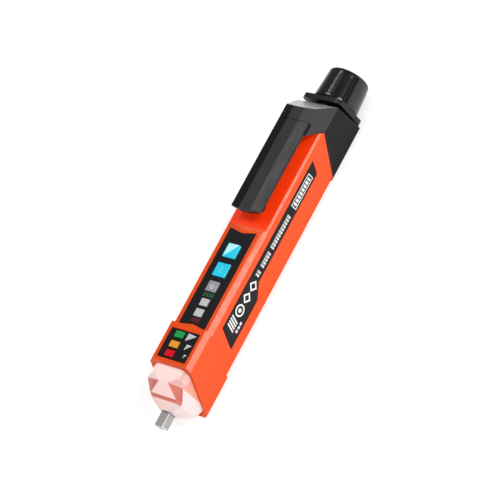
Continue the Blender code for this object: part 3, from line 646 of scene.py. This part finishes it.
def striped_triangle(first, second, third, stripes):
    """Stripes of a triangle, parallel to its first side."""
    outlines = []
    for index in range(stripes):
        near, far = index / stripes, (index + 0.66) / stripes
        corners = [(first, near), (second, near), (second, far), (first, far)]
        outlines.append([[a + (b - a) * t for a, b in zip(base, third)] for base, t in corners])
    return outlines


def print_on_top(outlines, level, name, body, ink):
    """Thin print on a level face."""
    piece(along_z(outlines, (level - INK / 2, level + INK)), name, body, ink)


def print_on_side(outlines, name):
    """Thin white print on the side label."""
    piece(along_y(outlines, (SIDE_Y - INK, SIDE_Y + INK / 2)), name, "housing", WHITE_INK)


def panel_prints():
    """Striped triangles on the signal panel and small marks on the keypad panel."""
    triangles = striped_triangle((34.2, -2.0), (33.7, -6.3), (31.0, -1.9), 5)
    triangles += striped_triangle((29.8, -3.8), (29.7, -6.2), (27.4, -3.6), 3)
    triangles += striped_triangle((25.8, -5.0), (25.7, -6.2), (24.2, -4.9), 2)
    print_on_top(triangles, HEAD_Z, "signal_triangles", "housing", WHITE_INK)
    ticks = [box_outline((50.4, 52.1), (y, y + 0.75)) for y in (-2.6, -1.3, 0.1, 1.6)]
    print_on_top(ticks, FACE_Z, "green_mode_marks", "housing", GREEN_INK)
    dashes = [box_outline((39.6, 41.2), (y, y + 0.9)) for y in (-2.2, -0.8, 0.6)]
    print_on_top(dashes, FACE_Z, "red_mode_marks", "housing", RED_INK)


def key_prints():
    """A pale cyan triangle over half of the power key's top, and glyphs on the torch and mode keys."""
    low, high = span("power_key")
    # pale cyan triangle over half of the power key's top
    corners = [(high[0] - 0.5, 2.7), (high[0] - 0.5, -2.5), (low[0] + 0.6, 2.7)]
    print_on_top([corners], high[2], "power_key_pale_triangle", "power_button", PALE_CYAN_HALF)
    low, high = span("torch_key")
    middle = (low[0] + high[0]) / 2
    barrel = box_outline((middle - 0.2, middle + 1.6), (-0.45, 0.45))
    bell = [(middle - 0.4, -0.45), (middle - 1.2, -1.0), (middle - 1.2, 1.0), (middle - 0.4, 0.45)]
    print_on_top([barrel, bell], high[2], "torch_key_glyph", "torch_button", FAINT_CYAN_INK)
    low, high = span("mode_key")
    middle = ((low[0] + high[0]) / 2 - 0.1, -0.2)
    glyph = [arc_band(middle, 0.75, 1.15, 0, 300), arc_band(middle, 0.0, 0.35, 0, 360)]
    print_on_top(glyph, high[2], "mode_key_glyph", "mode_button", GREY_INK)


def greeked_line(x, z, height, pitch, gaps):
    """A row of plain notched blocks in place of small print."""
    outlines = []
    count = int((x[1] - x[0]) / pitch)
    for index in range(count):
        if index in gaps:
            continue
        start = x[0] + index * pitch
        left, right, end = (start + pitch * share for share in (0.24, 0.42, 0.66))
        top = z + height
        notch = z + height * (0.30 if index % 2 else 0.42)
        outlines.append([(start, z), (end, z), (end, top), (right, top), (right, notch), (left, notch),
                         (left, top), (start, top)])
    return outlines


def label_prints():
    """Plain shapes on the side label, which are none of the words and marks of the real one."""
    block_row = [box_outline((96.6, 111.2), (12.1, 15.5)), box_outline((97.0, 110.8), (12.45, 15.15))]
    block_row += [box_outline((97.7 + 1.6 * i, 98.8 + 1.6 * i), (12.9, 14.7)) for i in range(8)]
    print_on_side(block_row, "label_block_row")
    print_on_side(greeked_line((66.3, 94.8), 12.6, 2.2, 1.36, (2, 8)), "label_small_row")
    diamonds = []
    for station in (62.4, 57.2):
        diamonds += [regular_outline((station, 12.8), radius, 4) for radius in (2.4, 1.4)]
    print_on_side(diamonds, "label_diamonds")
    rings = [regular_outline((51.6, 12.9), radius, 24) for radius in (2.5, 1.8, 0.9)]
    print_on_side(rings, "label_rings")
    hatch = [[(start, 10.7), (start + 0.7, 10.7), (start + 2.0, 15.4), (start + 1.3, 15.4)]
             for start in (43.0, 44.2, 45.4, 46.6)]
    print_on_side(hatch, "label_hatch")
    blocks = [box_outline((start, start + 1.2), (8.5, 9.6)) for start in (44.0, 45.7, 47.4)]
    print_on_side(blocks, "label_blocks")


# ---------------------------------------------------------------- light and camera
def place_camera():
    """Camera that looks at the target from its azimuth and elevation, rolled about its own axis."""
    azimuth, elevation, roll = (math.radians(a) for a in (CAM_AZIMUTH, CAM_ELEVATION, CAM_ROLL))
    back = Vector((math.sin(azimuth) * math.cos(elevation), -math.cos(azimuth) * math.cos(elevation),
                   math.sin(elevation)))
    level = Vector((math.cos(azimuth), math.sin(azimuth), 0.0))
    above = back.cross(level)
    right = level * math.cos(roll) - above * math.sin(roll)
    up = level * math.sin(roll) + above * math.cos(roll)
    data = bpy.data.cameras.new("camera")
    data.lens = CAM_LENS
    data.sensor_width = CAM_SENSOR
    data.clip_start, data.clip_end = CAM_CLIP
    camera = bpy.data.objects.new("camera", data)
    bpy.context.scene.collection.objects.link(camera)
    shift = right * CAM_OFFSET[0] + up * CAM_OFFSET[1]
    spot = point(*CAM_TARGET) + (back * CAM_DISTANCE - shift) * MM
    camera.matrix_world = Matrix.Translation(spot) @ Matrix((right, up, back)).transposed().to_4x4()
    bpy.context.scene.camera = camera


def softbox(name, direction, distance, size, power):
    """Area light that faces the pen."""
    data = bpy.data.lights.new(name, "AREA")
    data.shape = "RECTANGLE"
    data.size, data.size_y = size
    data.energy = power
    lamp = bpy.data.objects.new(name, data)
    bpy.context.scene.collection.objects.link(lamp)
    away = Vector(direction).normalized()
    lamp.location = away * distance
    lamp.rotation_euler = away.to_track_quat("Z", "Y").to_euler()


def set_stage():
    """White surroundings, three softboxes and a pale paper floor."""
    world = bpy.data.worlds.new("studio")
    world.use_nodes = True
    background = world.node_tree.nodes["Background"]
    background.inputs["Color"].default_value = (1, 1, 1, 1)
    background.inputs["Strength"].default_value = WORLD_LIGHT
    bpy.context.scene.world = world
    bpy.context.scene.view_settings.view_transform = "Standard"
    for settings in SOFTBOXES:
        softbox(*settings)
    bpy.ops.mesh.primitive_plane_add(size=FLOOR_SIZE, location=(0, 0, 0))
    floor = bpy.context.object
    floor.name = "floor"
    paper = surface("white_paper", (0.93, 0.93, 0.93), 0.8, mottle=0.005, relief=0.02,
                    Emission_Color=(1.0, 1.0, 1.0, 1.0), Emission_Strength=0.42)
    floor.data.materials.append(paper)


dress_nodes()
shell_skin()
collar_skin()
clip_skin()
ribbed_cap()
faceted_nose()
pin_skin()
panel_prints()
key_prints()
label_prints()
place_camera()
set_stage()
